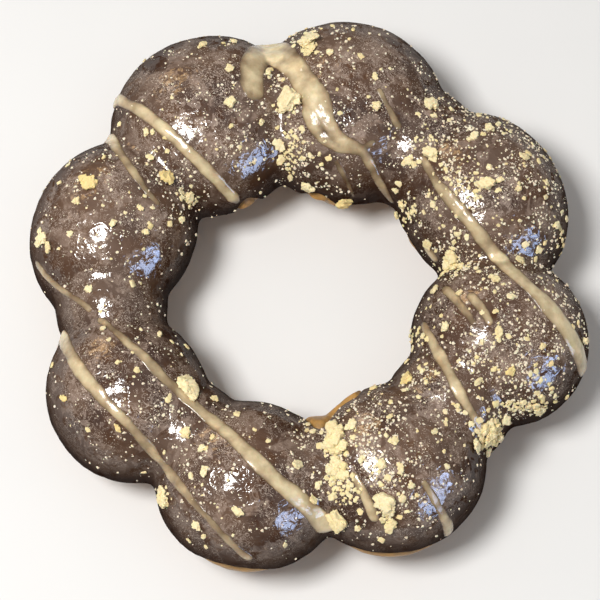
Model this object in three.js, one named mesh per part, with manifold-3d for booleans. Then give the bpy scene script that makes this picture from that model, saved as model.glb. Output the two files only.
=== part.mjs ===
// A mochi doughnut: eight soft balls of fried dough joined in a ring. The upper half is dipped
// in chocolate, striped with thin biscuit-coloured sauce and scattered with biscuit crumbs.
// Millimetres, +Z up. The origin is on the table, below the middle of the doughnut's outline.

import * as THREE from "three";
import { mergeVertices } from "three/addons/utils/BufferGeometryUtils.js";
import Module from "manifold-3d";

// ---------------------------------------------------------------- sizes

// The ring that the balls are threaded on.
const RING_MIDDLE_X = -1.2;
const RING_MIDDLE_Y = -1.1;
const SECTION_REACH = 32;
const SECTION_HEIGHT = 11;

// Each ball: its angle round the ring in degrees from +X, how far out its middle lies, and its
// half sizes away from the ring's middle, along the ring and upwards.
const BALLS = [
  { angle: -13, reach: 33.1, out: 13.3, along: 12.9, up: 11.9 },
  { angle: 28.5, reach: 34.0, out: 12.5, along: 14.9, up: 11.6 },
  { angle: 76.5, reach: 33.0, out: 14.8, along: 15.6, up: 12.0 },
  { angle: 117, reach: 33.4, out: 14.4, along: 15.5, up: 11.8 },
  { angle: 160, reach: 32.5, out: 12.3, along: 14.6, up: 11.6 },
  { angle: 211.5, reach: 32.3, out: 11.7, along: 13.2, up: 11.5 },
  { angle: 255.5, reach: 32.6, out: 12.5, along: 13.7, up: 11.8 },
  { angle: 297.5, reach: 32.4, out: 12.5, along: 13.8, up: 11.7 },
];

// The dough between two balls, where it bridges the crease: as the balls, but smaller.
const BRIDGES = [
  { angle: 52.5, reach: 32.2, out: 9.0, along: 8.0, up: 8.6 },
  { angle: 184, reach: 30.6, out: 7.3, along: 7.5, up: 8.0 },
  { angle: 232, reach: 29.4, out: 7.3, along: 8.0, up: 8.4 },
  { angle: 276.5, reach: 30.1, out: 7.9, along: 7.5, up: 8.6 },
  { angle: 322.5, reach: 30.0, out: 8.4, along: 8.5, up: 8.8 },
];

// How softly neighbouring balls run into each other.
const DOUGH_BLEND = 1.1;
const COAT_BLEND = 1.6;

// The chocolate: clear of the dough by COAT_GAP, its outside COAT_RISE above the dough.
const COAT_GAP = 0.35;
const COAT_RISE = 1.25;
const COAT_RIM_RISE = 0.95;

// Where the chocolate ends, in degrees of the section above its widest place.
const OUTER_LINE = 2;
const INNER_LINE = -2;
const LINE_WAVE = 6;
const LOWEST_TOPPING_TILT = 16;

// The sauce: ridges laid over the chocolate in nearly straight swings, each through a few places
// seen from above, in millimetres from the part's origin, with its width at the start and the end.
const SAUCE_HEIGHT = 0.75;
const SAUCE_SINK = 0.45;
const SAUCE_STEP = 3.3;
const SAUCE_END_TAPER = 0.6;
const SAUCE_SHOULDER_OUT = 0.85;
const SAUCE_SHOULDER_UP = 0.55;
const SAUCE_SWINGS = [
  { through: [[-31.5, 32], [-23, 24], [-16.5, 18], [-11, 14.5]], start: 2.2, end: 2 },
  { through: [[-33, 25.5], [-29, 19], [-24, 11.5]], start: 1.9, end: 1 },
  {
    through: [[-8, 29], [-9.5, 33.5], [-7, 38], [-3, 38], [1.5, 27], [4, 21.5], [9.5, 20.5], [14, 14]],
    start: 3.4,
    end: 1.8,
  },
  { through: [[11.5, 30], [15, 24.5]], start: 1.2, end: 1.4 },
  { through: [[18, 20.5], [26, 8.5], [30.5, 2], [35, -2.5], [40, -8], [43.5, -14]], start: 1.6, end: 2.8 },
  { through: [[21, -1], [23.5, -5], [26, -9.5]], start: 1.6, end: 1 },
  { through: [[25.5, -4], [29, -9.5]], start: 1.3, end: 1 },
  { through: [[18, -6.5], [21.5, -15], [24.5, -20.5], [28, -25]], start: 2, end: 1.6 },
  { through: [[7, -33], [9.5, -37], [11, -41]], start: 1.3, end: 1.8 },
  { through: [[17.5, -34], [19, -36.5], [21.5, -40]], start: 1.2, end: 1.8 },
  {
    through: [[-43.5, 3.5], [-34, -5.5], [-28, -12.5], [-17, -22], [-6.5, -33], [3, -40.5]],
    start: 1.8,
    end: 2.6,
  },
  { through: [[-41, -8], [-37.5, -14], [-32.5, -21], [-23, -30], [-10.5, -45]], start: 2.2, end: 2 },
];

// Crumbs of biscuit. The largest are placed one by one: where each lies seen from above, and how
// wide it is. The others are strewn by a rule, most of them on the +X side.
const LARGE_CRUMBS = [
  { x: -3, y: 29, width: 4.4 },
  { x: -23, y: 16, width: 3.2 },
  { x: -35, y: 14, width: 3 },
  { x: -42, y: 6, width: 3.2 },
  { x: -12.5, y: 28, width: 2.2 },
  { x: -5, y: 22, width: 2.4 },
  { x: 0.5, y: 39.5, width: 3.4 },
  { x: 20, y: 29.5, width: 3.1 },
  { x: 20, y: 20, width: 3 },
  { x: 28.5, y: 14, width: 3 },
  { x: 0.5, y: 17, width: 2.6 },
  { x: 6, y: 15.5, width: 2.8 },
  { x: 23, y: 3.5, width: 2.3 },
  { x: 20.5, y: -2.5, width: 2.4 },
  { x: -19.5, y: -19, width: 4 },
  { x: -19, y: -26, width: 2.2 },
  { x: -22, y: -36, width: 3.6 },
  { x: -10.5, y: -39, width: 2.1 },
  { x: 4, y: -27.5, width: 4.6 },
  { x: 4, y: -31.5, width: 2.8 },
  { x: 12, y: -38, width: 3.8 },
  { x: 5, y: -39.5, width: 3.8 },
  { x: 11.5, y: -32, width: 2.2 },
  { x: 29, y: -24, width: 3.6 },
  { x: 28, y: -27.5, width: 2.6 },
  { x: 37, y: -22, width: 2.6 },
];
const STREWN_CRUMBS = 42;
const STREWN_WIDTH = [1.1, 1.9];
const STREWN_APART = 3;
const STREWN_TILT = [22, 150];
const STREWN_FEWEST = 0.25;
const STREWN_THIN_AT = -15;
const STREWN_THICK_AT = 20;
const CRUMB_SWELL = [0.82, 1.18];
const CRUMB_FLATNESS = 0.62;
const CRUMB_SINK = 0.42;
const CRUMB_SEED = 7;

// Facets, and how closely the surface is found along a ray in its section.
const STEPS_PER_BALL = 12;
const STEPS_ROUND_DOUGH = 20;
const STEPS_OVER_COAT = 11;
const LONGEST_RAY = 24;
const RAY_HALVINGS = 36;
const SEARCH_HALVINGS = 24;
const SLOPE_STEP = 0.05;

// ---------------------------------------------------------------- the form

const TURN = Math.PI * 2;
const radians = THREE.MathUtils.degToRad;

for (const ball of [...BALLS, ...BRIDGES]) {
  const angle = radians(ball.angle);
  ball.cos = Math.cos(angle);
  ball.sin = Math.sin(angle);
  ball.x = ball.reach * ball.cos;
  ball.y = ball.reach * ball.sin;
}

// How far a point lies outside one ball, close to millimetres near its surface.
function outsideBall(ball, x, y, z) {
  const dx = x - ball.x;
  const dy = y - ball.y;
  const out = (dx * ball.cos + dy * ball.sin) / ball.out;
  const along = (dy * ball.cos - dx * ball.sin) / ball.along;
  const up = (z - SECTION_HEIGHT) / ball.up;
  const scaled = Math.hypot(out, along, up);
  const steepness = Math.hypot(out / ball.out, along / ball.along, up / ball.up);
  return (scaled * (scaled - 1)) / Math.max(steepness, 1e-6);
}

// How far a point lies outside the whole ring of balls, which run together over `blend`.
function outsideRing(x, y, z, blend) {
  let sum = 0;
  for (const ball of [...BALLS, ...BRIDGES]) {
    sum += Math.exp(-outsideBall(ball, x, y, z) / blend);
  }
  return -blend * Math.log(sum);
}

// The point of the surface `rise` above the balls, in the upright section at `turn` round the
// ring, and at `tilt` round that section: 0 faces outwards, a quarter turn faces up.
function surfacePoint(turn, tilt, blend, rise) {
  const across = Math.cos(tilt);
  const upwards = Math.sin(tilt);
  let near = 0;
  let far = LONGEST_RAY;
  for (let pass = 0; pass < RAY_HALVINGS; pass += 1) {
    const middle = (near + far) / 2;
    const reach = SECTION_REACH + middle * across;
    const z = SECTION_HEIGHT + middle * upwards;
    const outside = outsideRing(reach * Math.cos(turn), reach * Math.sin(turn), z, blend);
    if (outside < rise) near = middle;
    else far = middle;
  }
  let length = near;
  if (upwards < 0) length = Math.min(length, SECTION_HEIGHT / -upwards);
  const reach = SECTION_REACH + length * across;
  return new THREE.Vector3(
    RING_MIDDLE_X + reach * Math.cos(turn),
    RING_MIDDLE_Y + reach * Math.sin(turn),
    Math.max(0, SECTION_HEIGHT + length * upwards),
  );
}

// The angles round the ring at which sections are taken: evenly from one crease to the next.
function sectionTurns() {
  const turns = [];
  const count = BALLS.length;
  for (let i = 0; i < count; i += 1) {
    const here = BALLS[i].angle;
    const before = i > 0 ? BALLS[i - 1].angle : BALLS[count - 1].angle - 360;
    const after = i < count - 1 ? BALLS[i + 1].angle : BALLS[0].angle + 360;
    const start = (before + here) / 2;
    const end = (here + after) / 2;
    for (let step = 0; step < STEPS_PER_BALL; step += 1) {
      turns.push(radians(start + ((end - start) * step) / STEPS_PER_BALL));
    }
  }
  return turns;
}

// A closed skin over rings of points: each ring is a closed section, and the last joins the first.
function skinOverSections(sections) {
  const perSection = sections[0].length;
  const positions = [];
  for (const section of sections) {
    for (const point of section) positions.push(point.x, point.y, point.z);
  }
  const index = [];
  for (let i = 0; i < sections.length; i += 1) {
    const next = (i + 1) % sections.length;
    for (let j = 0; j < perSection; j += 1) {
      const beside = (j + 1) % perSection;
      const a = i * perSection + j;
      const b = next * perSection + j;
      const c = next * perSection + beside;
      const d = i * perSection + beside;
      index.push(a, b, c, a, c, d);
    }
  }
  const geometry = new THREE.BufferGeometry();
  geometry.setAttribute("position", new THREE.Float32BufferAttribute(positions, 3));
  geometry.setIndex(index);
  return geometry;
}

// ---------------------------------------------------------------- dough

function doughGeometry() {
  const sections = sectionTurns().map((turn) => {
    const section = [];
    for (let step = 0; step < STEPS_ROUND_DOUGH; step += 1) {
      const tilt = (TURN * step) / STEPS_ROUND_DOUGH;
      section.push(surfacePoint(turn, tilt, DOUGH_BLEND, 0));
    }
    return section;
  });
  return skinOverSections(sections);
}

// ---------------------------------------------------------------- chocolate

// The chocolate's edge wanders up and down round the ring.
function edgeWave(turn, shift) {
  const slow = Math.sin(3 * turn + shift);
  const quick = 0.5 * Math.sin(8 * turn + 2 * shift);
  return radians(LINE_WAVE * (slow + quick));
}

function coatGeometry() {
  const sections = sectionTurns().map((turn) => {
    const start = radians(OUTER_LINE) + edgeWave(turn, 0.6);
    const end = Math.PI - radians(INNER_LINE) - edgeWave(turn, 2.4);
    const section = [];
    for (let step = 0; step <= STEPS_OVER_COAT; step += 1) {
      const tilt = start + ((end - start) * step) / STEPS_OVER_COAT;
      const atRim = step === 0 || step === STEPS_OVER_COAT;
      section.push(surfacePoint(turn, tilt, COAT_BLEND, atRim ? COAT_RIM_RISE : COAT_RISE));
    }
    for (let step = STEPS_OVER_COAT; step >= 0; step -= 1) {
      const tilt = start + ((end - start) * step) / STEPS_OVER_COAT;
      section.push(surfacePoint(turn, tilt, DOUGH_BLEND, COAT_GAP));
    }
    return section;
  });
  return skinOverSections(sections);
}

// The direction straight out of the chocolate at a point.
function coatNormal(point) {
  const step = SLOPE_STEP;
  const x = point.x - RING_MIDDLE_X;
  const y = point.y - RING_MIDDLE_Y;
  const slope = (dx, dy, dz) =>
    outsideRing(x + dx, y + dy, point.z + dz, COAT_BLEND) -
    outsideRing(x - dx, y - dy, point.z - dz, COAT_BLEND);
  return new THREE.Vector3(slope(step, 0, 0), slope(0, step, 0), slope(0, 0, step)).normalize();
}

// The point of the chocolate's upper side at a place seen from above. A place outside the
// outline is taken down to the side of the ball nearest to it.
function coatPointAbove(x, y) {
  const turn = Math.atan2(y - RING_MIDDLE_Y, x - RING_MIDDLE_X);
  const reach = Math.hypot(x - RING_MIDDLE_X, y - RING_MIDDLE_Y);
  let outer = radians(LOWEST_TOPPING_TILT);
  let inner = Math.PI - outer;
  let point;
  for (let pass = 0; pass < SEARCH_HALVINGS; pass += 1) {
    const tilt = (outer + inner) / 2;
    point = surfacePoint(turn, tilt, COAT_BLEND, COAT_RISE);
    const pointReach = Math.hypot(point.x - RING_MIDDLE_X, point.y - RING_MIDDLE_Y);
    if (pointReach > reach) outer = tilt;
    else inner = tilt;
  }
  return point;
}

// ---------------------------------------------------------------- sauce

// One ridge of sauce: a five-sided section, half sunk in the chocolate, carried along its path.
function sauceGeometry({ through, start, end }) {
  const path = new THREE.CatmullRomCurve3(through.map(([x, y]) => new THREE.Vector3(x, y, 0)));
  const steps = Math.max(2, Math.round(path.getLength() / SAUCE_STEP));
  const places = path.getSpacedPoints(steps).map((place) => coatPointAbove(place.x, place.y));
  const positions = [];
  places.forEach((point, i) => {
    const normal = coatNormal(point);
    const ahead = places[Math.min(i + 1, steps)].clone().sub(places[Math.max(i - 1, 0)]);
    const side = ahead.cross(normal).normalize();
    const taper = i === 0 || i === steps ? SAUCE_END_TAPER : 1;
    const half = (taper * THREE.MathUtils.lerp(start, end, i / steps)) / 2;
    const height = taper * SAUCE_HEIGHT;
    const section = [
      [-half, -SAUCE_SINK],
      [-SAUCE_SHOULDER_OUT * half, SAUCE_SHOULDER_UP * height],
      [0, height],
      [SAUCE_SHOULDER_OUT * half, SAUCE_SHOULDER_UP * height],
      [half, -SAUCE_SINK],
    ];
    for (const [across, up] of section) {
      const corner = point.clone().addScaledVector(side, across).addScaledVector(normal, up);
      positions.push(corner.x, corner.y, corner.z);
    }
  });
  const sides = 5;
  const index = [];
  for (let i = 0; i < steps; i += 1) {
    for (let j = 0; j < sides; j += 1) {
      const a = i * sides + j;
      const b = i * sides + ((j + 1) % sides);
      index.push(a, b, b + sides, a, b + sides, a + sides);
    }
  }
  const last = steps * sides;
  for (let j = 1; j < sides - 1; j += 1) {
    index.push(0, j + 1, j);
    index.push(last, last + j, last + j + 1);
  }
  const geometry = new THREE.BufferGeometry();
  geometry.setAttribute("position", new THREE.Float32BufferAttribute(positions, 3));
  geometry.setIndex(index);
  return geometry;
}

// ---------------------------------------------------------------- crumbs

// A small repeatable source of random numbers from 0 to 1.
function randomSource(seed) {
  let state = seed;
  return () => {
    state = (state * 1664525 + 1013904223) % 4294967296;
    return state / 4294967296;
  };
}

// One crumb: a rough lump lying flat on the chocolate, its underside sunk a little.
function crumbGeometry(point, width, random) {
  const lump = new THREE.IcosahedronGeometry(0.5, 0);
  lump.deleteAttribute("normal");
  lump.deleteAttribute("uv");
  const geometry = mergeVertices(lump, 1e-4);
  const corners = geometry.getAttribute("position");
  for (let i = 0; i < corners.count; i += 1) {
    const swell = THREE.MathUtils.lerp(...CRUMB_SWELL, random());
    corners.setXYZ(i, corners.getX(i) * swell, corners.getY(i) * swell, corners.getZ(i) * swell);
  }
  const thickness = CRUMB_FLATNESS * width;
  const normal = coatNormal(point);
  geometry.scale(width, width, thickness);
  geometry.rotateZ(TURN * random());
  geometry.applyQuaternion(
    new THREE.Quaternion().setFromUnitVectors(new THREE.Vector3(0, 0, 1), normal),
  );
  const middle = point.clone().addScaledVector(normal, thickness / 2 - CRUMB_SINK);
  geometry.translate(middle.x, middle.y, middle.z);
  return geometry;
}

// Places for the strewn crumbs, each clear of the others and of the large ones.
function strewnPlaces(random) {
  const taken = LARGE_CRUMBS.map(({ x, y }) => new THREE.Vector2(x, y));
  const places = [];
  while (places.length < STREWN_CRUMBS) {
    const turn = TURN * random();
    const tilt = radians(THREE.MathUtils.lerp(...STREWN_TILT, random()));
    const point = surfacePoint(turn, tilt, COAT_BLEND, COAT_RISE);
    const thickness = THREE.MathUtils.smoothstep(point.x, STREWN_THIN_AT, STREWN_THICK_AT);
    const chance = THREE.MathUtils.lerp(STREWN_FEWEST, 1, thickness);
    const here = new THREE.Vector2(point.x, point.y);
    const clear = taken.every((place) => place.distanceTo(here) > STREWN_APART);
    if (random() < chance && clear) {
      taken.push(here);
      places.push(point);
    }
  }
  return places;
}

function crumbGeometries() {
  const random = randomSource(CRUMB_SEED);
  const large = LARGE_CRUMBS.map(({ x, y, width }) =>
    crumbGeometry(coatPointAbove(x, y), width, random),
  );
  const strewn = strewnPlaces(random).map((point) =>
    crumbGeometry(point, THREE.MathUtils.lerp(...STREWN_WIDTH, random()), random),
  );
  return [...large, ...strewn];
}

// ---------------------------------------------------------------- joining

const wasm = await Module();
wasm.setup();

function solidFrom(geometry) {
  return new wasm.Manifold(
    new wasm.Mesh({
      numProp: 3,
      vertProperties: new Float32Array(geometry.getAttribute("position").array),
      triVerts: new Uint32Array(geometry.getIndex().array),
    }),
  );
}

// Everything joined into one solid. Scraps and sealed hollows are dropped with the smaller pieces.
function joined(geometries) {
  const [first, ...others] = geometries.map(solidFrom);
  const whole = others.reduce((sum, solid) => sum.add(solid), first);
  const pieces = whole.decompose();
  const largest = pieces.reduce((best, piece) => (piece.volume() > best.volume() ? piece : best));
  const { vertProperties, triVerts } = largest.getMesh();
  const geometry = new THREE.BufferGeometry();
  geometry.setAttribute("position", new THREE.Float32BufferAttribute(vertProperties, 3));
  geometry.setIndex(Array.from(triVerts));
  return geometry;
}

// ---------------------------------------------------------------- assembly

const doughMaterial = new THREE.MeshStandardMaterial({ color: 0xb9793a, roughness: 0.75 });
const chocolateMaterial = new THREE.MeshStandardMaterial({ color: 0x45342c, roughness: 0.35 });

function namedMesh(name, geometry, material) {
  geometry.computeVertexNormals();
  const mesh = new THREE.Mesh(geometry, material);
  mesh.name = name;
  return mesh;
}

const toppedCoat = joined([
  coatGeometry(),
  ...SAUCE_SWINGS.map(sauceGeometry),
  ...crumbGeometries(),
]);

const doughnut = new THREE.Group();
doughnut.add(namedMesh("dough", doughGeometry(), doughMaterial));
doughnut.add(namedMesh("chocolate_coat", toppedCoat, chocolateMaterial));

export default doughnut;
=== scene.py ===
"""A mochi doughnut: eight soft balls of fried dough in a ring, the upper side dipped in chocolate,
striped with biscuit-coloured sauce and strewn with biscuit crumbs and their dust."""

import math
import random

import bpy
import numpy as np
from mathutils import Matrix, Vector, noise
from mathutils.bvhtree import BVHTree


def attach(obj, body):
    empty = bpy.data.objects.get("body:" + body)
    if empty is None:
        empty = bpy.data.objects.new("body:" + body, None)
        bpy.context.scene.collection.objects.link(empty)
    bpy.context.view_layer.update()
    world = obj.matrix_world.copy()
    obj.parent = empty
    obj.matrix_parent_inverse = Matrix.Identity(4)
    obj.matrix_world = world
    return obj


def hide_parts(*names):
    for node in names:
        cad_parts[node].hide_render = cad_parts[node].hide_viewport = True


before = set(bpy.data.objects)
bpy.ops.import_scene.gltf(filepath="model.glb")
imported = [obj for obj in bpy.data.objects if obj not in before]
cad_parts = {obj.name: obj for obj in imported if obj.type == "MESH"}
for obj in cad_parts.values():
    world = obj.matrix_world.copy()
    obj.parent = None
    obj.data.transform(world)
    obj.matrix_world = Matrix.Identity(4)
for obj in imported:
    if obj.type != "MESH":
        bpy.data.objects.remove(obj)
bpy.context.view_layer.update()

# ------------------------------------------------------------------ sizes, in metres

MM = 0.001

# The ring that the balls are threaded on: its middle seen from above, the reach and height of the
# line that runs through every ball, about how far the ring's surface is from that line, and, in
# millimetres, a distance that lies well outside it.
RING_MIDDLE = Vector((-1.2 * MM, -1.1 * MM, 0))
SECTION_REACH = 32 * MM
SECTION_HEIGHT = 11 * MM
SECTION_RADIUS = 13 * MM
OUTSIDE_RING = 60

# Each ball: its angle round the ring in degrees from +X, how far out its middle lies, and its
# half sizes away from the ring's middle, along the ring and upwards, in millimetres.
BALLS = [
    dict(angle=-13, reach=33.1, out=13.3, along=12.9, up=11.9),
    dict(angle=28.5, reach=34.0, out=12.5, along=14.9, up=11.6),
    dict(angle=76.5, reach=33.0, out=14.8, along=15.6, up=12.0),
    dict(angle=117, reach=33.4, out=14.4, along=15.5, up=11.8),
    dict(angle=160, reach=32.5, out=12.3, along=14.6, up=11.6),
    dict(angle=211.5, reach=32.3, out=11.7, along=13.2, up=11.5),
    dict(angle=255.5, reach=32.6, out=12.5, along=13.7, up=11.8),
    dict(angle=297.5, reach=32.4, out=12.5, along=13.8, up=11.7),
]

# The dough between two balls, where it bridges the crease: as the balls, but smaller.
BRIDGES = [
    dict(angle=52.5, reach=32.2, out=9.6, along=8.6, up=9.2),
    dict(angle=184, reach=30.6, out=7.9, along=8.1, up=8.6),
    dict(angle=232, reach=29.4, out=7.9, along=8.6, up=9.0),
    dict(angle=276.5, reach=30.1, out=8.5, along=8.1, up=9.2),
    dict(angle=322.5, reach=30.0, out=9.0, along=9.1, up=9.4),
]

# How fine the skins of the dough and the chocolate are, and how often their creases are softened.
DOUGH_CELL = 0.55 * MM
DOUGH_SOFTENING = 14
COAT_CELL = 0.51 * MM
COAT_SOFTENING = 38

# The chocolate's outside lies this far above the dough.  Its edge is rounded over this height, and
# its lower part is tucked this deep into the dough.
COAT_RISE = 1.25 * MM
EDGE_ROUND = 1.1 * MM
EDGE_SINK = 0.5 * MM

# Where the chocolate stops short the dough bulges out as far as the coat, fully this far below
# its edge.  The bulge begins at this height above the ground, and is full at twice that height.
BULGE_RISE = 1.2 * MM
BULGE_FOOT = 3 * MM

# Where the chocolate ends, in degrees of the section above its widest place, on the outer side
# and in the hole: a wandering line, and places (angle round the ring, half width, lift) where it
# stops short and bares the dough.  From a lift of BARING_LIFT on, the dough bulges out fully.
LINE = -10
LINE_WAVE = 3
OUTER_LIFTS = [(30, 7, 12), (70, 8, 12), (256, 10, 14.5), (291, 15, 15.5)]
INNER_LIFTS = [(32, 18, 14), (80, 11, 17), (119, 8, 17), (276.5, 7, 50), (288, 9, 28),
               (298, 7, 24)]
BARING_LIFT = 20

# The heights above the ground from where to where the chocolate's steep sides, darkened with painted
# shade, give way to its own paler colour, and where it gets its full gloss.
SIDE_SHADE_HEIGHTS = (12.5 * MM, 22.3 * MM)
GLOSSING = (15 * MM, 19 * MM)

# The eye: how steeply it looks down, how far off it is, how wide a strip it sees there, and what
# it looks at.  EYE_BACK points from there to the eye, and EYE_UP is up in the picture.
EYE_RISE = math.radians(72)
EYE_DISTANCE = 380 * MM
VIEW_WIDTH = 97.7 * MM
VIEW_MIDDLE = Vector((-1.2 * MM, -1.4 * MM, 11 * MM))
EYE_BACK = Vector((0, -math.cos(EYE_RISE), math.sin(EYE_RISE)))
EYE_UP = Vector((0, math.sin(EYE_RISE), math.cos(EYE_RISE)))
EYE = VIEW_MIDDLE + EYE_BACK * EYE_DISTANCE

# The photograph is this many pixels wide; places on the chocolate are written as it shows them,
# in pixels from its upper left corner, and every size in millimetres.
PHOTO_WIDTH = 600

# The swings of sauce: the places they run through, their widths at start and end, and how far
# they stand up for their width.  "over" tells which ends run on down the side.
SWINGS = [
    dict(through=[(120, 100), (142, 112), (165, 130), (205, 168), (235, 200), (246, 209)],
         width=(2.4, 2.3), lift=0.24, over="start"),
    dict(through=[(106, 133), (125, 160), (145, 188), (160, 206)],
         width=(2.3, 1.2), lift=0.22, over="start"),
    dict(through=[(257, 101), (253, 84), (253, 66), (261, 54), (273, 51), (285, 58), (297, 72),
                  (308, 88), (320, 106), (329, 124)],
         width=(4.4, 4.4), lift=0.12, over=""),
    dict(through=[(250, 92), (250, 68), (260, 52), (276, 50), (290, 62), (302, 78), (314, 96)],
         width=(3.6, 5.2), lift=0.11, over=""),
    dict(through=[(320, 106), (328, 122), (337, 136), (350, 146), (362, 151), (369, 162), (379, 182),
                  (393, 204)],
         width=(3.4, 1.3), lift=0.15, over=""),
    dict(through=[(306, 103), (311, 122), (319, 135), (333, 146), (352, 150), (376, 142)],
         width=(2.2, 1.4), lift=0.18, over=""),
    dict(through=[(335, 160), (346, 180), (354, 198)], width=(1.5, 1.0), lift=0.08, over=""),
    dict(through=[(378, 88), (388, 106), (400, 130)], width=(1.1, 1.8), lift=0.18, over=""),
    dict(through=[(420, 155), (440, 187), (470, 222), (500, 260), (530, 287), (560, 320),
                  (578, 350), (583, 366)],
         width=(1.9, 3.9), lift=0.20, over="end"),
    dict(through=[(424, 244), (437, 262)], width=(2.2, 2.0), lift=0.20, over=""),
    dict(through=[(443, 287), (458, 302), (475, 325)], width=(2.2, 1.2), lift=0.16, over=""),
    dict(through=[(468, 293), (480, 306), (492, 325)], width=(1.9, 1.4), lift=0.16, over=""),
    dict(through=[(422, 323), (445, 365), (465, 402), (485, 432)], width=(2.1, 1.8), lift=0.22, over=""),
    dict(through=[(352, 472), (366, 498), (376, 522)], width=(1.6, 2.1), lift=0.25, over=""),
    dict(through=[(422, 480), (432, 495), (447, 523)], width=(1.2, 2.4), lift=0.22, over="end"),
    dict(through=[(35, 262), (48, 278), (66, 293), (80, 302), (92, 311)],
         width=(1.9, 1.4), lift=0.20, over=""),
    dict(through=[(98, 318), (110, 327), (130, 344), (150, 362), (172, 385)],
         width=(1.4, 2.0), lift=0.16, over=""),
    dict(through=[(138, 351), (155, 370), (172, 385), (200, 410), (235, 440), (265, 470), (300, 500),
                  (330, 531)],
         width=(1.8, 3.6), lift=0.19, over=""),
    dict(through=[(63, 338), (67, 348), (78, 368), (92, 386), (108, 404)],
         width=(2.6, 2.6), lift=0.20, over="start"),
    dict(through=[(98, 394), (130, 426), (160, 461), (185, 492), (210, 521), (236, 548), (252, 560)],
         width=(2.2, 1.5), lift=0.18, over=""),
]

# The swings are drawn in steps this long, and their skin is this fine.
SAUCE_STEP = 0.45 * MM
SAUCE_CELL = 0.2 * MM
# Along its way a swing gets wider and narrower by this share, this quickly from step to step, and
# differently from one swing to the next, whose unevenness is read this far apart.
SAUCE_WAVER = 0.3
SAUCE_WAVER_STEP = 0.11
SAUCE_WAVER_APART = 7.3
# Its ends round off over this share of its width, and the tip is as wide as this far along.
SAUCE_RUN_OUT = 0.6
SAUCE_TIP = 0.15 * MM
# How soon it thins out to its edges (1 is round), and how deep its foot sits in the chocolate.
SAUCE_EDGE = 1.4
SAUCE_FOOT = 0.35 * MM
# A swing that runs on down the side stops this far above the widest place.
SAUCE_STOP = math.radians(4)

# The larger crumbs by the ball they lie on: place and width in millimetres.
LARGE_CRUMBS = dict(
    top_left=[(165, 178, 3.1), (230, 103, 2.1), (229, 69, 1.6), (203, 46, 1.6), (233, 42, 1.3),
              (147, 132, 1.4), (150, 158, 1.6), (181, 220, 1.3), (189, 197, 1.9), (261, 122, 1.2),
              (153, 132, 1.0), (180, 191, 1.1)],
    top=[(290, 100, 4.4), (278, 145, 2.3), (280, 159, 1.6), (291, 177, 1.4), (309, 42, 3.4),
         (308, 54, 2.0), (361, 57, 1.2), (375, 77, 1.4), (376, 106, 1.7), (309, 186, 2.7),
         (344, 201, 2.8), (330, 53, 1.6), (283, 39, 1.3), (268, 73, 1.2)],
    right_top=[(431, 106, 3.1), (451, 110, 1.1), (489, 129, 1.8), (474, 137, 1.5), (431, 154, 3.0),
               (409, 160, 1.6), (414, 165, 1.2), (523, 157, 1.9), (485, 184, 2.9), (500, 180, 1.3),
               (518, 189, 1.4), (399, 183, 1.3), (396, 190, 1.1), (403, 205, 1.5), (398, 215, 1.4),
               (429, 244, 2.0), (452, 256, 2.2), (449, 266, 2.0), (538, 250, 1.3), (556, 225, 1.5),
               (467, 237, 1.1), (443, 275, 1.2)],
    right_bottom=[(436, 291, 2.3), (496, 280, 1.5), (491, 277, 1.1), (520, 261, 1.8),
                  (460, 293, 1.1), (511, 297, 1.4), (409, 337, 1.5), (407, 346, 1.2),
                  (446, 327, 1.7), (499, 332, 1.9), (511, 371, 1.8), (478, 382, 1.6),
                  (542, 346, 1.2), (424, 336, 1.2), (539, 409, 2.0), (523, 402, 1.2),
                  (457, 406, 1.2), (584, 341, 1.3)],
    right_notch=[(475, 445, 2.1), (488, 440, 2.2), (486, 428, 2.0), (497, 428, 1.9),
                 (505, 420, 1.8), (478, 431, 1.4), (487, 452, 1.6), (471, 424, 1.2)],
    bottom_right=[(334, 438, 4.4), (328, 447, 2.4), (342, 447, 2.2), (336, 462, 2.1),
                  (330, 470, 1.9), (343, 474, 2.2), (352, 426, 2.1), (394, 441, 1.5),
                  (408, 379, 2.1), (405, 391, 1.4), (434, 432, 1.3), (381, 465, 2.1),
                  (385, 502, 3.9), (391, 525, 2.3), (339, 519, 4.0), (411, 485, 1.4),
                  (400, 467, 1.4), (362, 459, 1.3), (358, 528, 1.3), (390, 417, 1.2),
                  (333, 496, 1.4), (318, 485, 1.5), (312, 500, 1.4), (313, 432, 1.1)],
    bottom=[(297, 465, 1.8), (237, 415, 1.2), (238, 511, 2.0), (197, 525, 1.5), (205, 471, 1.7),
            (202, 449, 1.5), (165, 500, 2.6), (163, 491, 1.8), (204, 536, 1.0)],
    lower_left=[(185, 386, 3.6), (192, 398, 2.0), (214, 399, 1.3), (159, 335, 1.2),
                (109, 340, 0.9), (118, 428, 1.4), (185, 433, 2.0), (65, 398, 1.5), (103, 329, 1.1)],
    left=[(89, 184, 2.9), (43, 240, 2.5), (49, 247, 1.9), (77, 201, 1.3), (70, 234, 1.2),
          (113, 223, 1.4), (146, 232, 1.1), (140, 208, 1.3), (89, 289, 1.5), (104, 158, 0.9)],
)
GOLDEN = [(165, 178), (89, 184), (408, 379), (511, 371), (65, 398), (118, 428), (344, 201)]

# Those widths are of a crumb's bright middle; its ragged edge adds this share.
CRUMB_EDGE = 1.12

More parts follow.
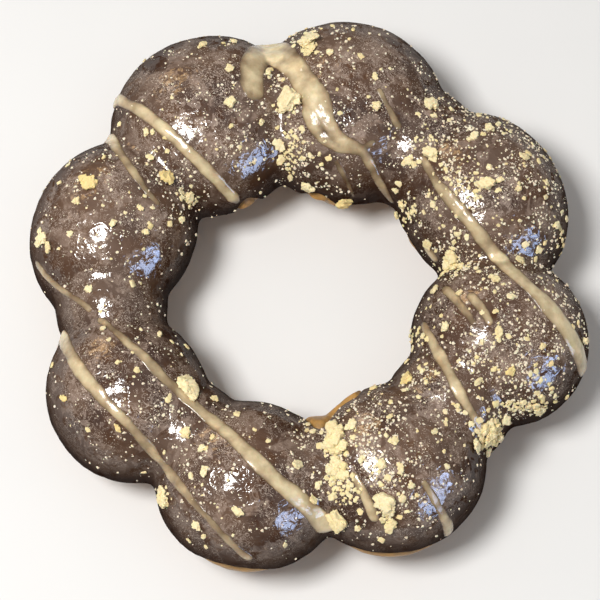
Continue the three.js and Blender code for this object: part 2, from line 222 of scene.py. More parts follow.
# Heaps of small crumbs: middle as the photograph shows it, half widths across and down in the
# same pixels, how many, the largest one's width and how high they pile, in millimetres.
CRUMB_HEAPS = [
    dict(at=(490, 434), spread=(10, 10), count=110, width=1.5, height=1.6),
    dict(at=(539, 408), spread=(7, 6), count=26, width=1.3, height=1.0),
    dict(at=(515, 405), spread=(16, 7), count=30, width=0.9, height=0.3),
    dict(at=(333, 448), spread=(8, 9), count=44, width=1.6, height=1.3),
    dict(at=(336, 472), spread=(9, 9), count=60, width=1.3, height=0.6),
    dict(at=(345, 490), spread=(13, 12), count=50, width=1.0, height=0.2),
    dict(at=(385, 512), spread=(7, 8), count=22, width=1.2, height=0.6),
    dict(at=(309, 46), spread=(8, 6), count=36, width=1.4, height=0.8),
    dict(at=(292, 150), spread=(10, 22), count=60, width=0.9, height=0.2),
    dict(at=(452, 268), spread=(10, 8), count=44, width=1.2, height=0.5),
    dict(at=(190, 198), spread=(8, 7), count=30, width=0.9, height=0.3),
    dict(at=(410, 162), spread=(6, 5), count=12, width=1.1, height=0.4),
    dict(at=(408, 214), spread=(9, 18), count=34, width=1.0, height=0.3),
    dict(at=(413, 338), spread=(6, 10), count=30, width=1.1, height=0.4),
    dict(at=(460, 185), spread=(22, 22), count=70, width=0.7, height=0.1),
    dict(at=(425, 140), spread=(10, 8), count=14, width=0.8, height=0.2),
    dict(at=(288, 104), spread=(10, 12), count=24, width=0.8, height=0.3),
    dict(at=(560, 240), spread=(5, 12), count=12, width=1.2, height=0.3),
    dict(at=(165, 497), spread=(5, 8), count=12, width=1.0, height=0.4),
]

# How thickly dust and small crumbs lie anywhere, and where they gather: middle x and y, half
# widths, all in millimetres, and how thickly they lie there.
DUST_EVERYWHERE = 0.1
DUST_FIELDS = [
    (-2, 30, 9, 13, 0.8),
    (0, 17, 9, 5, 0.6),
    (24, 22, 8, 10, 0.9),
    (38, 20, 9, 12, 0.8),
    (24, 6, 7, 8, 1.1),
    (36, -6, 12, 12, 0.8),
    (33, -20, 7, 5, 1.6),
    (22, -17, 9, 9, 0.5),
    (8, -28, 8, 9, 1.3),
    (14, -36, 7, 5, 0.6),
    (-18, 18, 8, 8, 0.6),
    (-26, 12, 8, 8, 0.35),
    (-22, -20, 8, 9, 0.35),
    (-16, -32, 8, 8, 0.3),
]

# How many small crumbs and grains of dust are strewn at most, besides the heaps, and their widths
# in millimetres.  They keep this far above the chocolate's edge.
SMALL_CRUMBS = 620
SMALL_CRUMB_WIDTHS = (0.4, 1.3)
DUST_GRAINS = 7000
DUST_GRAIN_WIDTHS = (0.14, 0.62)
STREWN_ABOVE_EDGE = 0.8 * MM

# How many triangles a crumb has.
LARGE_CRUMB_TRIANGLES = 600
SMALL_CRUMB_TRIANGLES = 72

FLOOR_WIDTH = 3

dice = random.Random(11)
many_dice = np.random.default_rng(11)


# ------------------------------------------------------------------ working by hand, in code


def select_only(piece):
    """Select one object and make it the active one."""
    bpy.ops.object.select_all(action="DESELECT")
    piece.select_set(True)
    bpy.context.view_layer.objects.active = piece


def named(piece, name):
    """Give a piece and its data their name."""
    piece.name = name
    piece.data.name = name
    return piece


def join(pieces, name):
    """Join pieces into the first one."""
    select_only(pieces[0])
    for piece in pieces:
        piece.select_set(True)
    bpy.ops.object.join()
    return named(bpy.context.object, name)


def apply_modifier(piece, kind, **settings):
    """Add a modifier with these settings and apply it."""
    select_only(piece)
    modifier = piece.modifiers.new(kind.lower(), kind)
    for name, value in settings.items():
        setattr(modifier, name, value)
    bpy.ops.object.modifier_apply(modifier=modifier.name)


def apply_place(piece):
    """Put a piece's place, turn and scale into its mesh."""
    select_only(piece)
    bpy.ops.object.transform_apply(location=True, rotation=True, scale=True)


def points_of(piece):
    """The piece's vertices as rows of x, y, z."""
    rows = np.empty(len(piece.data.vertices) * 3)
    piece.data.vertices.foreach_get("co", rows)
    return rows.reshape(-1, 3)


def normals_of(piece):
    """The way out at each vertex, as rows of x, y, z."""
    rows = np.empty(len(piece.data.vertices) * 3)
    piece.data.vertex_normals.foreach_get("vector", rows)
    return rows.reshape(-1, 3)


def place_points(piece, rows):
    """Move the piece's vertices to rows of x, y, z."""
    piece.data.vertices.foreach_set("co", rows.ravel())
    piece.data.update()


def store(piece, name, values):
    """Keep one number for every vertex, for the piece's material to read."""
    attribute = piece.data.attributes.new(name, "FLOAT", "POINT")
    attribute.data.foreach_set("value", np.asarray(values, dtype=np.float32))


def skin_of(*pieces):
    """The surfaces of pieces that things are laid on."""
    points, faces = [], []
    for piece in pieces:
        first = len(points)
        points.extend(vertex.co for vertex in piece.data.vertices)
        faces.extend([first + v for v in face.vertices] for face in piece.data.polygons)
    return BVHTree.FromPolygons(points, faces)


def cloud(name, size, depth=2):
    """A cloudy texture for Displace, its lumps about `size` wide."""
    texture = bpy.data.textures.new(name, "CLOUDS")
    texture.noise_scale = size
    texture.noise_depth = depth
    return texture


def roughen(piece, name, size, height, depth=2):
    """Push the surface in and out in soft lumps `size` wide and `height` from low to high."""
    apply_modifier(
        piece,
        "DISPLACE",
        texture=cloud(name, size, depth),
        strength=height,
        mid_level=0.5,
        texture_coords="LOCAL",
    )


# ------------------------------------------------------------------ the ring of balls


def ring_of_balls(name, grow, cell, softening):
    """All the balls, each grown by `grow`, fused into one closed skin with softened creases."""
    balls = []
    for ball in BALLS + BRIDGES:
        angle = math.radians(ball["angle"])
        reach = ball["reach"] * MM
        middle = RING_MIDDLE + Vector((reach * math.cos(angle), reach * math.sin(angle), SECTION_HEIGHT))
        bpy.ops.mesh.primitive_uv_sphere_add(
            segments=96, ring_count=64, radius=1, location=middle, rotation=(0, 0, angle)
        )
        sphere = bpy.context.object
        sphere.scale = [ball[side] * MM + grow for side in ("out", "along", "up")]
        apply_place(sphere)
        balls.append(sphere)
    ring = join(balls, name)
    apply_modifier(ring, "REMESH", mode="VOXEL", voxel_size=cell)
    apply_modifier(ring, "SMOOTH", factor=0.5, iterations=softening)
    return ring


def ring_angles(points):
    """For rows of x, y, z: the angle round the ring, and round the section from its outer side."""
    x = points[:, 0] - RING_MIDDLE.x
    y = points[:, 1] - RING_MIDDLE.y
    turn = np.arctan2(y, x)
    tilt = np.arctan2(points[:, 2] - SECTION_HEIGHT, np.hypot(x, y) - SECTION_REACH)
    return turn, tilt


def section_ray(turn, tilt):
    """The middle of the section at an angle round the ring, and the way out of it at a tilt."""
    outward = Vector((math.cos(turn), math.sin(turn), 0))
    middle = RING_MIDDLE + outward * SECTION_REACH + Vector((0, 0, SECTION_HEIGHT))
    return middle, outward * math.cos(tilt) + Vector((0, 0, math.sin(tilt)))


def degrees_apart(turn, angle):
    """From an angle in degrees to each turn in radians, the short way round."""
    return (np.degrees(turn) - angle + 180) % 360 - 180


def line_height(turn, lifts, shift):
    """The chocolate's edge, in radians above the section's widest place."""
    degrees = LINE + LINE_WAVE * (np.sin(3 * turn + shift) + 0.5 * np.sin(8 * turn + 2 * shift))
    for angle, half_width, lift in lifts:
        degrees = degrees + lift * np.exp(-((degrees_apart(turn, angle) / half_width) ** 2))
    return np.radians(degrees)


def bared(turn, lifts):
    """How far the chocolate stops short at each angle round the ring: 0 nowhere, 1 fully."""
    share = np.zeros(len(turn))
    for angle, half_width, lift in lifts:
        here = np.exp(-((degrees_apart(turn, angle) / half_width) ** 2))
        share += here * min(1, lift / BARING_LIFT)
    return np.clip(share, 0, 1)


def above_line(points):
    """How far each point lies above the chocolate's edge, in metres along the surface."""
    turn, tilt = ring_angles(points)
    outer = tilt - line_height(turn, OUTER_LIFTS, 0.6)
    inner = math.pi - tilt - line_height(turn, INNER_LIFTS, 2.4)
    height = np.where(tilt > math.pi / 2, inner, outer)
    height = np.where(tilt < -math.pi / 2, -1.0, height)
    reach = np.hypot(points[:, 0] - RING_MIDDLE.x, points[:, 1] - RING_MIDDLE.y) - SECTION_REACH
    return height * np.hypot(reach, points[:, 2] - SECTION_HEIGHT)


# ------------------------------------------------------------------ materials


class Finish:
    """A material of procedural nodes, built from the inside out."""

    def __init__(self, name):
        self.material = bpy.data.materials.new(name)
        self.material.use_nodes = True
        self.tree = self.material.node_tree
        self.shader = self.tree.nodes["Principled BSDF"]
        self.place = self.tree.nodes.new("ShaderNodeTexCoord").outputs["Object"]

    def node(self, kind, inputs=(), **settings):
        """A node of a kind, with its settings, and its inputs fed."""
        made = self.tree.nodes.new(kind)
        for name, value in settings.items():
            setattr(made, name, value)
        for name, value in dict(inputs).items():
            self.feed(made.inputs[name], value)
        return made

    def feed(self, socket, value):
        """Link a socket to another one, or set it to a plain value."""
        if isinstance(value, bpy.types.NodeSocket):
            self.tree.links.new(value, socket)
        else:
            socket.default_value = value

    def clouds(self, size, detail=3, roughness=0.5, distortion=0):
        """Soft noise with patches about `size` metres wide."""
        noise_node = self.node(
            "ShaderNodeTexNoise",
            {"Vector": self.place, "Scale": 1 / size, "Detail": detail,
             "Roughness": roughness, "Distortion": distortion},
        )
        return noise_node.outputs["Fac"]

    def height(self):
        """The height above the ground."""
        return self.node("ShaderNodeSeparateXYZ", {"Vector": self.place}).outputs["Z"]

    def attribute(self, name):
        """A number kept at every vertex of the piece."""
        return self.node("ShaderNodeAttribute", attribute_name=name).outputs["Fac"]

    def between(self, value, low, high, to_low=0.0, to_high=1.0):
        """The value's share of the way from low to high, as a number from to_low to to_high."""
        ranged = self.node(
            "ShaderNodeMapRange",
            {"Value": value, "From Min": low, "From Max": high, "To Min": to_low, "To Max": to_high},
        )
        return ranged.outputs["Result"]

    def times(self, one, other):
        """One value multiplied by another."""
        return self.node("ShaderNodeMath", {0: one, 1: other}, operation="MULTIPLY").outputs[0]

    def plus(self, one, other):
        """One value added to another."""
        return self.node("ShaderNodeMath", {0: one, 1: other}, operation="ADD").outputs[0]

    def near(self, value, middle, reach):
        """1 where the value is within reach of the middle, else 0: thin winding lines."""
        inputs = {0: value, 1: middle, 2: reach}
        return self.node("ShaderNodeMath", inputs, operation="COMPARE").outputs[0]

    def blend(self, share, low, high):
        """A colour between two."""
        mix = self.tree.nodes.new("ShaderNodeMix")
        mix.data_type = "RGBA"
        self.feed(mix.inputs["Factor"], share)
        self.feed(mix.inputs[6], low)
        self.feed(mix.inputs[7], high)
        return mix.outputs[2]

    def relief(self, height, distance, strength=1.0, under=None):
        """Small bumps, on top of the ones under them."""
        inputs = {"Height": height, "Distance": distance, "Strength": strength}
        if under is not None:
            inputs["Normal"] = under
        return self.node("ShaderNodeBump", inputs).outputs["Normal"]

    def set(self, **inputs):
        """Feed the shader's own sockets, and hand over the finished material."""
        for name, value in inputs.items():
            self.feed(self.shader.inputs[name.replace("_", " ")], value)
        return self.material


def paint(red, green, blue):
    """A colour as the screen shows it, 0 to 255, for a shader socket."""
    channels = []
    for channel in (red, green, blue):
        share = channel / 255
        channels.append(share / 12.92 if share <= 0.04045 else ((share + 0.055) / 1.055) ** 2.4)
    return (*channels, 1.0)


def chocolate_colour(finish):
    """Warm brown under haze, with pale patches and sharp-edged scales that are partly bloom and partly
    painted sheen, thin veins and pale flecks.
    """
    # The pale patches and scales are partly the chocolate's bloom and partly a painted sheen.
    patches = finish.between(finish.clouds(4.5 * MM, 5, 0.6, 0.8), 0.525, 0.565)
    streaks = finish.between(finish.clouds(1.3 * MM, 6, 0.7, 1.5), 0.42, 0.62)
    bloom_and_sheen = finish.times(patches, finish.plus(0.25, finish.times(streaks, 0.65)))
    haze = finish.between(finish.clouds(9 * MM, 3, 0.55), 0.38, 0.62, 0, 0.5)
    scales_and_sheen = finish.between(finish.clouds(2.4 * MM, 4, 0.6, 0.5), 0.58, 0.595, 0, 0.55)
    scaly = finish.between(finish.clouds(11 * MM, 2, 0.5), 0.49, 0.56)
    veins = finish.near(finish.clouds(1.1 * MM, 5, 0.65, 1.2), 0.5, 0.012)
    veined = finish.between(finish.clouds(5.5 * MM, 4, 0.6, 0.4), 0.47, 0.53)
    flecks = finish.between(finish.clouds(0.24 * MM, 2, 0.5, 0.4), 0.62, 0.68)
    flecked = finish.between(finish.clouds(5 * MM, 3, 0.5), 0.45, 0.6)
    warm = finish.between(finish.clouds(7 * MM, 2, 0.5), 0.4, 0.62)
    brown = finish.blend(warm, paint(65, 45, 36), paint(85, 59, 42))
    brown = finish.blend(haze, brown, paint(122, 99, 83))
    brown = finish.blend(bloom_and_sheen, brown, paint(148, 127, 113))
    brown = finish.blend(finish.times(scales_and_sheen, scaly), brown, paint(162, 142, 130))
    brown = finish.blend(finish.times(veins, veined), brown, paint(184, 166, 152))
    return finish.blend(finish.times(flecks, flecked), brown, paint(225, 208, 190))


def chocolate_finish():
    """Painted shade makes the steep sides dark and plain; the top keeps its paler, uneven colour and is
    glossy in patches.
    """
    finish = Finish("chocolate")
    height = finish.height()
    top = finish.between(height, *SIDE_SHADE_HEIGHTS)
    # Painted shade: towards the steep sides the colour fades from the top's own colour into a plain dark
    # brown.
    colour = finish.blend(top, paint(42, 28, 22), chocolate_colour(finish))
    swells = finish.clouds(3 * MM, 1, 0.5, 0.3)
    flakes = finish.between(finish.clouds(1.7 * MM, 2.5, 0.6, 0.6), 0.44, 0.56)
    rough = finish.plus(0.2, finish.times(top, 0.8))
    normal = finish.relief(swells, 0.24 * MM, rough)
    normal = finish.relief(flakes, 0.036 * MM, rough, normal)
    shine = finish.between(finish.clouds(1.5 * MM, 3.5, 0.6, 0.6), 0.4, 0.44)
    shine = finish.times(shine, finish.between(height, *GLOSSING, 0.035, 0.27))
    return finish.set(Base_Color=colour, Roughness=0.6, Normal=normal, Specular_IOR_Level=0.0,
                      Coat_Weight=shine, Coat_Roughness=0.09, Coat_IOR=3.0, Coat_Normal=normal)


def dough_finish():
    """Golden brown crust with darker spots, paler in a band below the chocolate."""
    finish = Finish("fried_dough")
    patches = finish.between(finish.clouds(1.8 * MM, 5, 0.65), 0.38, 0.6)
    crust = finish.blend(patches, paint(108, 70, 30), paint(184, 132, 66))
    band = finish.between(finish.height(), 5 * MM, 9 * MM)
    colour = finish.blend(finish.times(band, 0.4), crust, paint(200, 160, 96))
    blisters = finish.clouds(0.7 * MM, 5, 0.65)
    normal = finish.relief(blisters, 0.12 * MM, 0.8)
    gloss = finish.between(patches, 0, 1, 0.45, 0.65)
    return finish.set(Base_Color=colour, Roughness=gloss, Normal=normal, Subsurface_Weight=0.06,
                      Subsurface_Scale=0.4 * MM)


def sauce_finish():
    """Brown and half clear where it is thin, olive and then pale where it is thicker."""
    finish = Finish("biscuit_sauce")
    cloudy = finish.between(finish.clouds(1.6 * MM, 4, 0.6), 0.3, 0.7)
    uneven = finish.between(finish.clouds(3 * MM, 4, 0.6), 0.3, 0.7, 0.7, 1.3)
    thickness = finish.times(finish.attribute("thickness"), uneven)
    clear = finish.between(thickness, 0.0, 0.17)
    thick = finish.between(thickness, 0.15, 0.38)
    olive = finish.blend(cloudy, paint(158, 137, 106), paint(184, 164, 131))
    pale = finish.blend(cloudy, paint(208, 190, 152), paint(234, 218, 180))
    colour = finish.blend(clear, paint(88, 68, 50), finish.blend(thick, olive, pale))
    normal = finish.relief(finish.clouds(0.9 * MM, 3, 0.5), 0.06 * MM, 0.6)
    gloss = finish.between(cloudy, 0, 1, 0.1, 0.26)
    return finish.set(Base_Color=colour, Roughness=gloss, Normal=normal, Subsurface_Weight=0.2,
                      Subsurface_Scale=0.6 * MM)


def crumb_finish(name, pale, golden, deeper_grain):
    """Dry biscuit: each crumb between pale and golden, with a fine random grain of a deeper tone."""
    finish = Finish(name)
    shade = finish.attribute("shade")
    grain = finish.between(finish.clouds(0.35 * MM, 4, 0.6), 0.35, 0.6)
    colour = finish.blend(shade, pale, golden)
    colour = finish.blend(grain, finish.blend(0.55, colour, deeper_grain), colour)
    normal = finish.relief(finish.clouds(0.22 * MM, 3, 0.6), 0.08 * MM, 0.9)
    return finish.set(Base_Color=colour, Roughness=0.85, Normal=normal, Subsurface_Weight=0.1,
                      Subsurface_Scale=0.3 * MM)


def floor_finish():
    """Plain pale paper."""
    finish = Finish("white_paper")
    shade = finish.between(finish.clouds(40 * MM, 2, 0.5), 0.3, 0.7)
    colour = finish.blend(shade, (0.75, 0.75, 0.75, 1), (0.77, 0.77, 0.77, 1))
    return finish.set(Base_Color=colour, Roughness=0.9)


# ------------------------------------------------------------------ dough


def make_dough():
    """The ring in dough, bulging a little where it is bare, with its underside cut flat."""
    dough = ring_of_balls("fried_dough", 0, DOUGH_CELL, DOUGH_SOFTENING)
    roughen(dough, "dough_lumps", 5 * MM, 0.5 * MM)
    roughen(dough, "dough_pits", 0.9 * MM, 0.12 * MM)
    points = points_of(dough)
    turn, tilt = ring_angles(points)
    bare = np.where(tilt > math.pi / 2, bared(turn, INNER_LIFTS), bared(turn, OUTER_LIFTS))
    bulge = COAT_RISE * bare * np.clip(-above_line(points) / BULGE_RISE, 0, 1)
    bulge *= np.clip((points[:, 2] - BULGE_FOOT) / BULGE_FOOT, 0, 1)
    place_points(dough, points + normals_of(dough) * bulge[:, None])
    select_only(dough)
    bpy.ops.object.mode_set(mode="EDIT")
    bpy.ops.mesh.select_all(action="SELECT")
    bpy.ops.mesh.bisect(plane_co=(0, 0, 0), plane_no=(0, 0, 1), use_fill=True, clear_inner=True)
    bpy.ops.object.mode_set(mode="OBJECT")
    bpy.ops.object.shade_smooth_by_angle(angle=math.radians(50))
    return dough


# ------------------------------------------------------------------ chocolate


def make_coat(dough):
    """The ring again, a little larger, its lower part tucked inside the dough, less the dough."""
    coat = ring_of_balls("chocolate_layer", COAT_RISE, COAT_CELL, COAT_SOFTENING)
    roughen(coat, "coat_lumps", 6 * MM, 0.45 * MM)
    roughen(coat, "coat_ripples", 1.6 * MM, 0.1 * MM)
    points = points_of(coat)
    height = above_line(points)
    share = np.clip(1 - height / EDGE_ROUND, 0, 1)
    tuck = (COAT_RISE + EDGE_SINK) * (1 - np.sqrt(1 - share**2))
    points -= normals_of(coat) * tuck[:, None]
    points[:, 2] = np.maximum(points[:, 2], EDGE_SINK)
    place_points(coat, points)
    apply_modifier(coat, "BOOLEAN", operation="DIFFERENCE", object=dough, solver="MANIFOLD")
    keep_largest_part(coat)
    bpy.ops.object.shade_smooth_by_angle(angle=math.radians(60))
    return coat


def keep_largest_part(piece):
    """Drop the loose scraps that a cut leaves."""
    select_only(piece)
    bpy.ops.object.mode_set(mode="EDIT")
    bpy.ops.mesh.select_all(action="SELECT")
    bpy.ops.mesh.separate(type="LOOSE")
    bpy.ops.object.mode_set(mode="OBJECT")
    parts = sorted(bpy.context.selected_objects, key=lambda part: -len(part.data.vertices))
    for scrap in parts[1:]:
        bpy.data.objects.remove(scrap)
    named(parts[0], piece.name)
    select_only(parts[0])


# ------------------------------------------------------------------ laying things on


def seen(skin, across, down):
    """Where the photograph's pixel lies on a skin, with the skin's normal, or nothing."""
    spread = VIEW_WIDTH / EYE_DISTANCE / PHOTO_WIDTH
    right = (across - PHOTO_WIDTH / 2) * spread
    up = (PHOTO_WIDTH / 2 - down) * spread
    way = Vector((1, 0, 0)) * right + EYE_UP * up - EYE_BACK
    place, normal, _, _ = skin.ray_cast(EYE, way.normalized())
    if place is None or place.z < 1 * MM:
        return None
    return place, normal


def along(points, step):
    """A smooth path through points (rows of two or three), with a place about every `step`."""
    points = [Vector(point) for point in points]
    padded = [2 * points[0] - points[1], *points, 2 * points[-1] - points[-2]]
    path = []
    for before, start, end, after in zip(padded, padded[1:], padded[2:], padded[3:]):
        count = max(1, round((end - start).length / step))
        for i in range(count):
            t = i / count
            path.append(
                0.5 * (2 * start + (end - before) * t
                       + (2 * before - 5 * start + 4 * end - after) * t**2
                       + (3 * start - before - 3 * end + after) * t**3)
            )
    path.append(points[-1])
    return path


def down_the_side(skin, place, to_tilt):
    """Places from one near the outline down the side to a tilt above the widest place."""
    turn, tilt = (float(angle[0]) for angle in ring_angles(np.array([place])))
    places = []
    steps = max(1, round(abs(tilt - to_tilt) * SECTION_RADIUS / SAUCE_STEP))
    for i in range(1, steps + 1):
        middle, way = section_ray(turn, tilt + (to_tilt - tilt) * i / steps)
        hit, _, _, _ = skin.ray_cast(middle + way * OUTSIDE_RING * MM, -way)
        if hit is not None:
            places.append(hit)
    return places


def swing_places(skin, swing):
    """The places on the chocolate that a swing of sauce runs through."""
    pixel_step = SAUCE_STEP * PHOTO_WIDTH / VIEW_WIDTH
    found = [seen(skin, *pixel) for pixel in along(swing["through"], pixel_step)]
    places = [hit[0] for hit in found if hit is not None]
    if "start" in swing["over"]:
        places = down_the_side(skin, places[0], SAUCE_STOP)[::-1] + places
    if "end" in swing["over"]:
        places = places + down_the_side(skin, places[-1], SAUCE_STOP)
    return places


def draw_swing(skin, swing, number):
    """One swing as a round cord through its places, rounded off at its ends and pressed down."""
    places = swing_places(skin, swing)
    curve = bpy.data.curves.new("swing", "CURVE")
    curve.dimensions = "3D"
    curve.bevel_depth = 1
    curve.bevel_resolution = 3
    curve.use_fill_caps = True
    line = curve.splines.new("POLY")
    length = len(places) - 1
    line.points.add(length)
    start, end = swing["width"]
    for i, (point, place) in enumerate(zip(line.points, places)):
        width = start + (end - start) * (i / length)
        waver = noise.noise(Vector((i * SAUCE_WAVER_STEP, number * SAUCE_WAVER_APART, 0)))
        width *= 1 + SAUCE_WAVER * waver
        from_end = min(i, length - i) * SAUCE_STEP
        ending = min(1, (from_end + SAUCE_TIP) / (width * MM * SAUCE_RUN_OUT))
        point.co = (*place, 1)
        point.radius = width * MM / 2 * math.sqrt(1 - (1 - ending) ** 2)
    cord = bpy.data.objects.new("swing", curve)
    bpy.context.collection.objects.link(cord)
    select_only(cord)
    bpy.ops.object.convert(target="MESH")
    cord = bpy.context.object
    press_down(cord, skin, swing["lift"], MM * (start + end) / 4)
    return cord


def make_sauce(coat):
    """Every swing drawn on the chocolate and all fused, with how thick they are for the material."""
    skin = skin_of(coat)
    cords = [draw_swing(skin, swing, number) for number, swing in enumerate(SWINGS)]
    sauce = join(cords, "sauce_swings")
    apply_modifier(sauce, "REMESH", mode="VOXEL", voxel_size=SAUCE_CELL)
    apply_modifier(sauce, "SMOOTH", factor=0.5, iterations=3)
    roughen(sauce, "sauce_ripples", 2.5 * MM, 0.25 * MM, 1)
    heights = [height_over(skin, point) for point in points_of(sauce)]
    store(sauce, "thickness", np.array(heights) / MM)
    bpy.ops.object.shade_smooth()
    return sauce


def height_over(skin, point):
    """How far a point stands off a skin."""
    near, normal, _, _ = skin.find_nearest(Vector(point))
    return (Vector(point) - near).dot(normal)


def press_down(cord, skin, flatness, half_width):
    """Flatten a round cord onto the skin that runs through its middle, its edges thinnest."""
    for vertex in cord.data.vertices:
        near, normal, _, _ = skin.find_nearest(vertex.co)
        height = (vertex.co - near).dot(normal)
        if height > 0:
            height = half_width * flatness * (height / half_width) ** SAUCE_EDGE
        vertex.co = near + normal * max(height, -SAUCE_FOOT)


# ------------------------------------------------------------------ crumbs


def lump_shapes(count, triangles):
    """Broken biscuit lumps one unit wide: a few tilted blocks fused, roughened and thinned."""
    shapes = []
    for number in range(count):
        blocks = []
        for i in range(4 + number % 4):
            spread = 0.24 if i else 0
            middle = [dice.uniform(-spread, spread) for _ in range(2)] + [dice.uniform(-0.06, 0.08)]
            leans = [dice.uniform(-0.4, 0.4), dice.uniform(-0.4, 0.4), dice.uniform(0, 3)]
            bpy.ops.mesh.primitive_cube_add(size=1, location=middle, rotation=leans)
            block = bpy.context.object
            wide = dice.uniform(0.28, 0.5) if i else 0.6
            block.scale = (wide, wide * dice.uniform(0.6, 1), wide * dice.uniform(0.5, 0.8))
            apply_place(block)
            blocks.append(block)
        lump = join(blocks, "lump")
        apply_modifier(lump, "REMESH", mode="VOXEL", voxel_size=0.03)
        apply_modifier(lump, "SMOOTH", factor=0.5, iterations=2)
        roughen(lump, "lump_knobs", 0.2, 0.15)
        roughen(lump, "lump_grain", 0.06, 0.1)
        apply_modifier(lump, "TRIANGULATE")
        apply_modifier(lump, "DECIMATE", ratio=min(1, triangles / len(lump.data.polygons)))
        shapes.append(shape_of(lump))
    return shapes


def grain_shapes(count, unevenness):
    """Small uneven grains one unit wide."""
    shapes = []
    for _ in range(count):
        bpy.ops.mesh.primitive_ico_sphere_add(subdivisions=1, radius=0.5)
        grain = bpy.context.object
        for vertex in grain.data.vertices:
            vertex.co *= 1 + dice.uniform(-unevenness, unevenness)
        shapes.append(shape_of(grain))
    return shapes


def shape_of(piece):
    """The piece's points and triangles, one unit wide; the piece itself goes."""
    apply_modifier(piece, "TRIANGULATE")
    points = points_of(piece)
    points -= (points.max(axis=0) + points.min(axis=0)) / 2
    points /= np.ptp(points[:, :2], axis=0).max()
    corners = np.empty(len(piece.data.polygons) * 3, dtype=np.int64)
    piece.data.polygons.foreach_get("vertices", corners)
    bpy.data.objects.remove(piece)
    return points, corners.reshape(-1, 3)


def lay(name, shapes, places, rise, finish):
    """Copies of the shapes, their middles `rise` of their width above the places they lie on.
    A place has a point, a normal, a width and a shade."""
    all_points, all_corners, shades = [], [], []
    first = 0
    for place, normal, width, shade in places:
        points, corners = dice.choice(shapes)
        size = Matrix.Diagonal((width, width * dice.uniform(0.65, 1), width * dice.uniform(0.5, 0.8)))
        spin = Matrix.Rotation(dice.uniform(0, 2 * math.pi), 3, "Z")
        lean = Matrix.Rotation(dice.uniform(-0.3, 0.3), 3, "X")
        up = Vector(normal).to_track_quat("Z", "Y").to_matrix()
        turn = np.array(up @ lean @ spin @ size)
        middle = Vector(place) + Vector(normal) * width * rise
        all_points.append(points @ turn.T + np.array(middle))
        all_corners.append(corners + first)
        first += len(points)
        shades.append(np.full(len(points), shade))
    points = np.concatenate(all_points)
    corners = np.concatenate(all_corners)
    mesh = bpy.data.meshes.new(name)
    mesh.from_pydata(points.tolist(), [], corners.tolist())
    piece = bpy.data.objects.new(name, mesh)
    bpy.context.collection.objects.link(piece)
    store(piece, "shade", np.concatenate(shades))
    mesh.materials.append(finish)
    select_only(piece)
    bpy.ops.object.shade_smooth_by_angle(angle=math.radians(40))
    return piece


def dust_density(points):
    """How thickly dust lies at rows of x, y, z."""
    thickness = np.full(len(points), DUST_EVERYWHERE)
    for x, y, wide, deep, weight in DUST_FIELDS:
        across = (points[:, 0] / MM - x) / wide
        up = (points[:, 1] / MM - y) / deep
        thickness += weight * np.exp(-(across**2) - up**2)
    return thickness


def strewn_places(coat, count, clump):
    """Random places on the chocolate's outside, thicker where dust gathers, in clumps."""
    mesh = coat.data
    mesh.calc_loop_triangles()
    corners = np.empty(len(mesh.loop_triangles) * 3, dtype=np.int64)
    mesh.loop_triangles.foreach_get("vertices", corners)
    triangles = points_of(coat)[corners.reshape(-1, 3)]
    cross = np.cross(triangles[:, 1] - triangles[:, 0], triangles[:, 2] - triangles[:, 0])
    area = np.linalg.norm(cross, axis=1) / 2
    normal = cross / np.maximum(area[:, None] * 2, 1e-15)
    middle = triangles.mean(axis=1)
    turn, tilt = ring_angles(middle)
    outward = np.stack(
        [np.cos(tilt) * np.cos(turn), np.cos(tilt) * np.sin(turn), np.sin(tilt)], axis=1
    )
    # Only faces that look out of the ring are strewn, and the steeper ones more thinly.
    outside = (normal * outward).sum(axis=1) > 0.3
    open_to_sky = np.clip((normal[:, 2] - 0.05) / 0.75, 0, 1)
    above_edge = above_line(middle) > STREWN_ABOVE_EDGE
    weight = area * dust_density(middle) * outside * open_to_sky * above_edge
    # Some of these fall outside the clumps and are dropped, so more are drawn than wanted.
    chosen = many_dice.choice(len(area), size=count * 4, p=weight / weight.sum())
    places = []
    for index in chosen:
        a, b = many_dice.random(2)
        if a + b > 1:
            a, b = 1 - a, 1 - b
        start, second, third = triangles[index]
        place = Vector(start + (second - start) * a + (third - start) * b)
        thick = noise.noise(place / clump) + 0.5 * noise.noise(place / clump * 3.1)
        if many_dice.random() < (0.25 + 0.75 * max(0, thick + 0.15)) ** 1.5:
            places.append((place, Vector(normal[index])))
        if len(places) == count:
            break
    return places


def heap_places(skin, heap):
    """The crumbs of one heap, piled higher towards its middle."""
    places = []
    for _ in range(heap["count"]):
        across, down = (dice.gauss(0, 0.6) for _ in range(2))
        hit = seen(
            skin,
            heap["at"][0] + across * heap["spread"][0],
            heap["at"][1] + down * heap["spread"][1],
        )
        if hit is None:
            continue
        place, normal = hit
        pile = heap["height"] * MM * max(0, 1 - across**2 - down**2) * dice.random()
        width = skewed(0.4, heap["width"], 1.6)
        places.append((place + normal * pile, normal, width, dice.uniform(0, 0.5)))
    return places


def skewed(low, high, power=2.2):
    """A random size, small ones much commoner."""
    return (low + (high - low) * dice.random() ** power) * MM


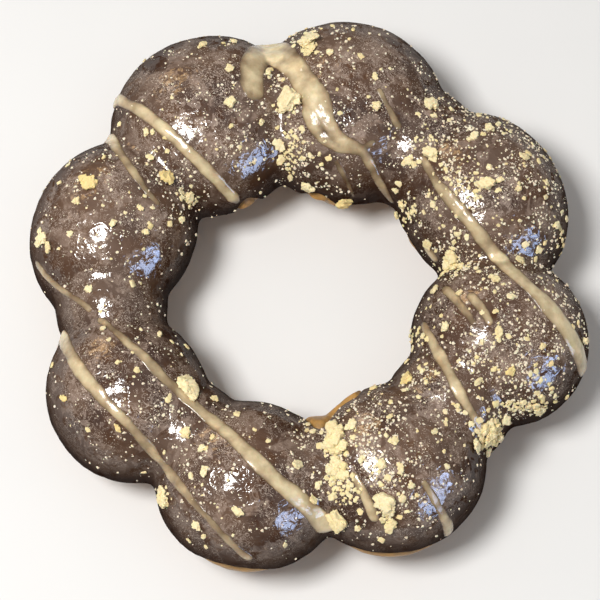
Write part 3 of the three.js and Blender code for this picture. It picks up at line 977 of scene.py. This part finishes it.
def make_crumbs(coat, sauce):
    """The large crumbs at their places, the small ones and the dust strewn, thin on the sauce."""
    biscuit = crumb_finish(
        "biscuit_crumb", paint(242, 230, 192), paint(234, 208, 138), paint(218, 196, 132)
    )
    powder = crumb_finish(
        "biscuit_dust", paint(244, 234, 214), paint(236, 218, 180), paint(220, 200, 168)
    )
    skin = skin_of(coat, sauce)
    sauce_skin = skin_of(sauce)
    places = []
    for crumbs in LARGE_CRUMBS.values():
        for across, down, width in crumbs:
            hit = seen(skin, across, down)
            if hit is not None:
                shade = 0.85 if (across, down) in GOLDEN else dice.uniform(0, 0.4)
                places.append((*hit, CRUMB_EDGE * width * MM, shade))
    large = lay("large_crumbs", lump_shapes(9, LARGE_CRUMB_TRIANGLES), places, 0.16, biscuit)

    places = []
    for place, normal in strewn_places(coat, SMALL_CRUMBS, 5 * MM):
        _, _, _, apart = sauce_skin.find_nearest(place)
        if apart > 0.5 * MM or dice.random() < 0.15:
            places.append((place, normal, skewed(*SMALL_CRUMB_WIDTHS), dice.uniform(0, 0.6)))
    for heap in CRUMB_HEAPS:
        places.extend(heap_places(skin, heap))
    small = lay("small_crumbs", lump_shapes(10, SMALL_CRUMB_TRIANGLES), places, 0.1, biscuit)

    places = []
    for place, normal in strewn_places(coat, DUST_GRAINS, 3.5 * MM):
        _, _, _, apart = sauce_skin.find_nearest(place)
        if apart > 0.3 * MM or dice.random() < 0.1:
            places.append((place, normal, skewed(*DUST_GRAIN_WIDTHS), dice.uniform(0, 0.5)))
    dust = lay("crumb_dust", grain_shapes(12, 0.42), places, 0.1, powder)
    return large, small, dust


# ------------------------------------------------------------------ the doughnut

dough = make_dough()
coat = make_coat(dough)
sauce = make_sauce(coat)
crumbs = make_crumbs(coat, sauce)
dough.data.materials.append(dough_finish())
coat.data.materials.append(chocolate_finish())
sauce.data.materials.append(sauce_finish())

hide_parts("dough")
for piece in (coat, sauce, *crumbs):
    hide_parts("chocolate_coat")
for piece in (dough, coat, sauce, *crumbs):
    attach(piece, "root")

# ------------------------------------------------------------------ eye, light, floor


def aim(thing, target):
    """Turn a lamp or camera towards a place."""
    thing.rotation_euler = (target - thing.location).to_track_quat("-Z", "Y").to_euler()


def add_panel(name, way, distance, size, power, colour, reflected_only=False):
    """A flat light of width and height `size`, off in the direction `way`."""
    bpy.ops.object.light_add(type="AREA", location=VIEW_MIDDLE + Vector(way).normalized() * distance)
    panel = named(bpy.context.object, name)
    panel.data.shape = "RECTANGLE"
    panel.data.size, panel.data.size_y = size
    panel.data.energy = power
    panel.data.color = colour
    panel.visible_diffuse = not reflected_only
    aim(panel, VIEW_MIDDLE)


def add_camera():
    """The eye that the photograph was taken with, as nearly as it shows."""
    bpy.ops.object.camera_add(location=EYE)
    camera = bpy.context.object
    camera.name = "camera"
    camera.data.sensor_width = 36
    camera.data.lens = 36 * EYE_DISTANCE / VIEW_WIDTH
    camera.data.clip_start = 10 * MM
    aim(camera, VIEW_MIDDLE)
    bpy.context.scene.camera = camera


def add_world():
    """A room that is bright overhead and dim towards the horizon."""
    world = bpy.data.worlds.new("soft_room")
    bpy.context.scene.world = world
    world.use_nodes = True
    tree = world.node_tree
    way = tree.nodes.new("ShaderNodeTexCoord").outputs["Generated"]
    split = tree.nodes.new("ShaderNodeSeparateXYZ")
    tree.links.new(way, split.inputs[0])
    rise = tree.nodes.new("ShaderNodeMapRange")
    tree.links.new(split.outputs["Z"], rise.inputs["Value"])
    rise.inputs["To Min"].default_value = 0.06
    rise.inputs["To Max"].default_value = 0.5
    background = tree.nodes["Background"]
    background.inputs["Color"].default_value = (1.0, 0.99, 0.97, 1)
    tree.links.new(rise.outputs["Result"], background.inputs["Strength"])


add_camera()
bpy.ops.mesh.primitive_plane_add(size=FLOOR_WIDTH, location=(0, 0, 0))
floor = named(bpy.context.object, "floor")
floor.data.materials.append(floor_finish())
add_panel("overhead_lamp", way=(-0.35, -0.12, 0.93), distance=0.5, size=(0.14, 0.14), power=2.5,
          colour=(1.0, 0.98, 0.95))
add_panel("window", way=(0.7, -0.65, 0.3), distance=0.7, size=(0.26, 0.32), power=2.5,
          colour=(0.5, 0.65, 1.0), reflected_only=True)
add_panel("narrow_window", way=(0.88, -0.38, 0.3), distance=0.7, size=(0.08, 0.26), power=0.8,
          colour=(0.46, 0.62, 1.0), reflected_only=True)
add_panel("warm_wall", way=(-0.45, 0.66, 0.45), distance=0.8, size=(0.26, 0.2), power=0.7,
          colour=(1.0, 0.62, 0.26), reflected_only=True)
add_world()
bpy.context.scene.view_settings.view_transform = "Standard"
